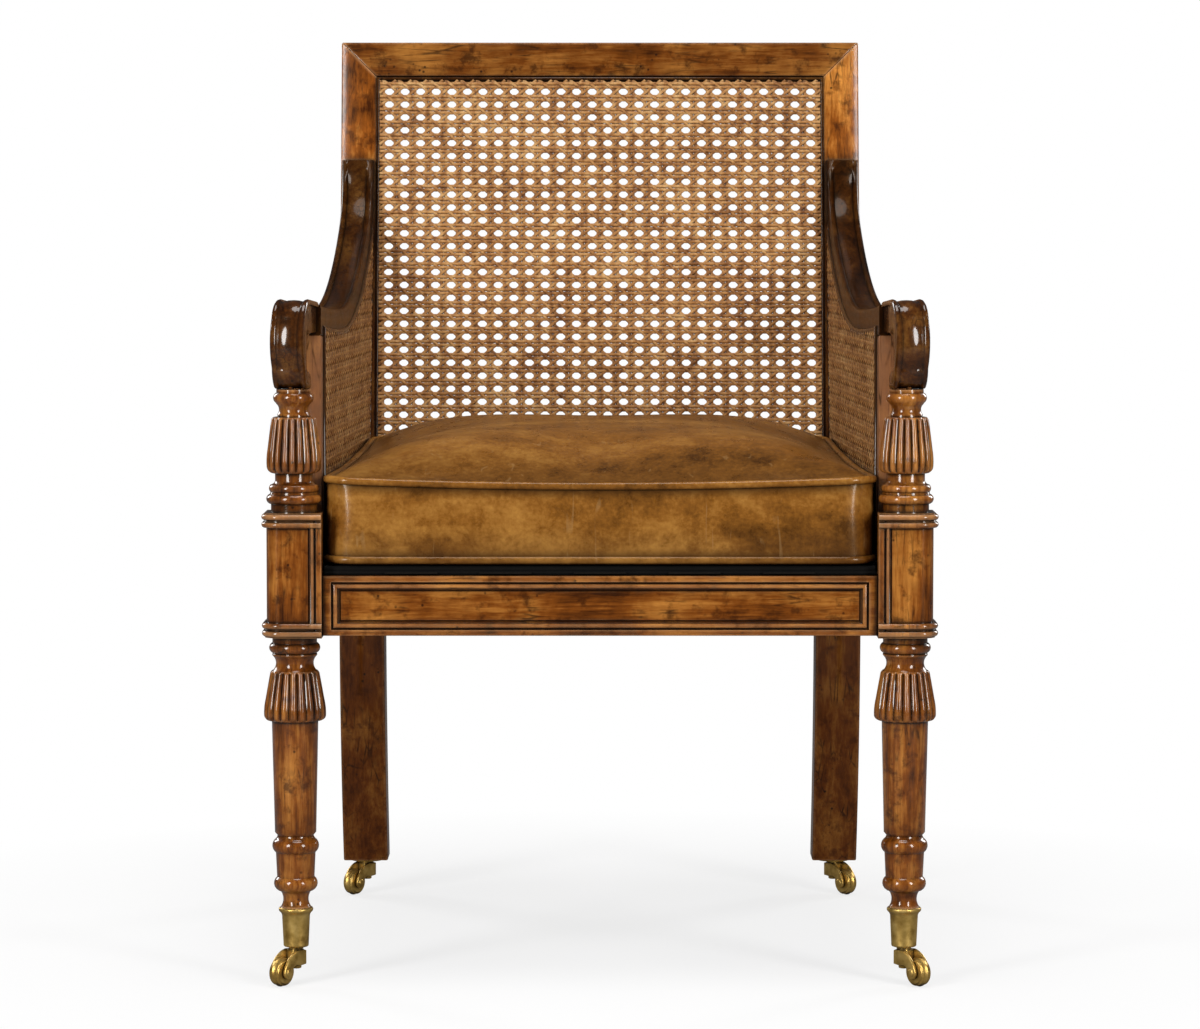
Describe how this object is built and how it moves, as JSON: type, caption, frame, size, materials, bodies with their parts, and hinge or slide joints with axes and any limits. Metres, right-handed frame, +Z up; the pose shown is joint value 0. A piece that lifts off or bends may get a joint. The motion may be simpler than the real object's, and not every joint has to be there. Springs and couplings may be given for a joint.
{
  "type": "bergere chair",
  "caption": "Caned bergere armchair: turned and reeded front posts, swept arms with scroll ends, raked cane back, loose leather seat cushion and brass swivel casters.",
  "frame": {"origin": "on the floor under the middle of the chair's bounding box", "axes": "+X to the viewer's right from the front, -Y towards the front of the seat, +Z up"},
  "size_m": [0.645, 0.6331, 0.922],
  "materials": {
    "show_wood": "antiqued chestnut-brown lacquer, worn and darkened in the recesses",
    "cane": "woven rattan cane, aged tan",
    "cane_bead": "dark reed bead pressed over the cane's edge",
    "dowel_wood": "bare beech",
    "webbing": "jute webbing",
    "deck_cloth": "black cotton deck cloth",
    "leather": "olive-tobacco mottled leather with a soft gloss",
    "cushion_filling": "wrapped seat filling",
    "brass": "antique brass, dulled",
    "screw_steel": "plain steel"
  },
  "bodies": {
    "frame": {"arm_dowels": "dowel_wood", "arm_rail_left": "show_wood", "arm_rail_right": "show_wood", "arm_scroll_left": "show_wood", "arm_scroll_right": "show_wood", "back_cane": "cane", "back_cane_spline": "cane_bead", "back_dowels": "dowel_wood", "corner_block_screws": "screw_steel", "corner_blocks": "dowel_wood", "front_caster_cup_left": "brass", "front_caster_cup_right": "brass", "front_caster_pin_left": "brass", "front_caster_pin_right": "brass", "front_post_left": "show_wood", "front_post_right": "show_wood", "front_seat_rail": "show_wood", "lower_back_rail": "show_wood", "rear_caster_pin_left": "brass", "rear_caster_pin_right": "brass", "rear_caster_plate_left": "brass", "rear_caster_plate_right": "brass", "rear_caster_screws": "brass", "rear_post_left": "show_wood", "rear_post_right": "show_wood", "rear_seat_rail": "show_wood", "seat_deck": "deck_cloth", "seat_dowels": "dowel_wood", "seat_webbing": "webbing", "side_cane_left": "cane", "side_cane_right": "cane", "side_cane_spline_left": "cane_bead", "side_cane_spline_right": "cane_bead", "side_front_stile_left": "show_wood", "side_front_stile_right": "show_wood", "side_lower_rail_left": "show_wood", "side_lower_rail_right": "show_wood", "side_rear_stile_left": "show_wood", "side_rear_stile_right": "show_wood", "side_seat_rail_left": "show_wood", "side_seat_rail_right": "show_wood", "top_rail": "show_wood"},
    "front_left_caster": {"front_caster_horn_left": "brass", "front_caster_axle_left": "brass"},
    "front_left_wheel": {"front_caster_wheel_left": "brass"},
    "front_right_caster": {"front_caster_horn_right": "brass", "front_caster_axle_right": "brass"},
    "front_right_wheel": {"front_caster_wheel_right": "brass"},
    "rear_left_caster": {"rear_caster_horn_left": "brass", "rear_caster_axle_left": "brass"},
    "rear_left_wheel": {"rear_caster_wheel_left": "brass"},
    "rear_right_caster": {"rear_caster_horn_right": "brass", "rear_caster_axle_right": "brass"},
    "rear_right_wheel": {"rear_caster_wheel_right": "brass"},
    "cushion": {"seat_cushion_cover": "leather", "seat_cushion_core": "cushion_filling"}
  },
  "joints": [
    {"name": "front_left_swivel", "type": "hinge", "parent": "frame", "child": "front_left_caster", "pos_m": [-0.292, -0.286, 0.03], "axis": [0, 0, 1], "continuous": true},
    {"name": "front_left_roll", "type": "hinge", "parent": "front_left_caster", "child": "front_left_wheel", "pos_m": [-0.30493, -0.30255, 0.014], "axis": [-0.788, 0.6157, 0], "continuous": true},
    {"name": "front_right_swivel", "type": "hinge", "parent": "frame", "child": "front_right_caster", "pos_m": [0.292, -0.286, 0.03], "axis": [0, 0, 1], "continuous": true},
    {"name": "front_right_roll", "type": "hinge", "parent": "front_right_caster", "child": "front_right_wheel", "pos_m": [0.30493, -0.30255, 0.014], "axis": [0.788, 0.6157, 0], "continuous": true},
    {"name": "rear_left_swivel", "type": "hinge", "parent": "frame", "child": "rear_left_caster", "pos_m": [-0.254, 0.283, 0.03], "axis": [0, 0, 1], "continuous": true},
    {"name": "rear_left_roll", "type": "hinge", "parent": "rear_left_caster", "child": "rear_left_wheel", "pos_m": [-0.26693, 0.26645, 0.014], "axis": [-0.788, 0.6157, 0], "continuous": true},
    {"name": "rear_right_swivel", "type": "hinge", "parent": "frame", "child": "rear_right_caster", "pos_m": [0.254, 0.283, 0.03], "axis": [0, 0, 1], "continuous": true},
    {"name": "rear_right_roll", "type": "hinge", "parent": "rear_right_caster", "child": "rear_right_wheel", "pos_m": [0.26693, 0.26645, 0.014], "axis": [0.788, 0.6157, 0], "continuous": true},
    {"name": "cushion_lift", "type": "slide", "parent": "frame", "child": "cushion", "axis": [0, 0, 1], "range_m": [0, 0.2]}
  ]
}
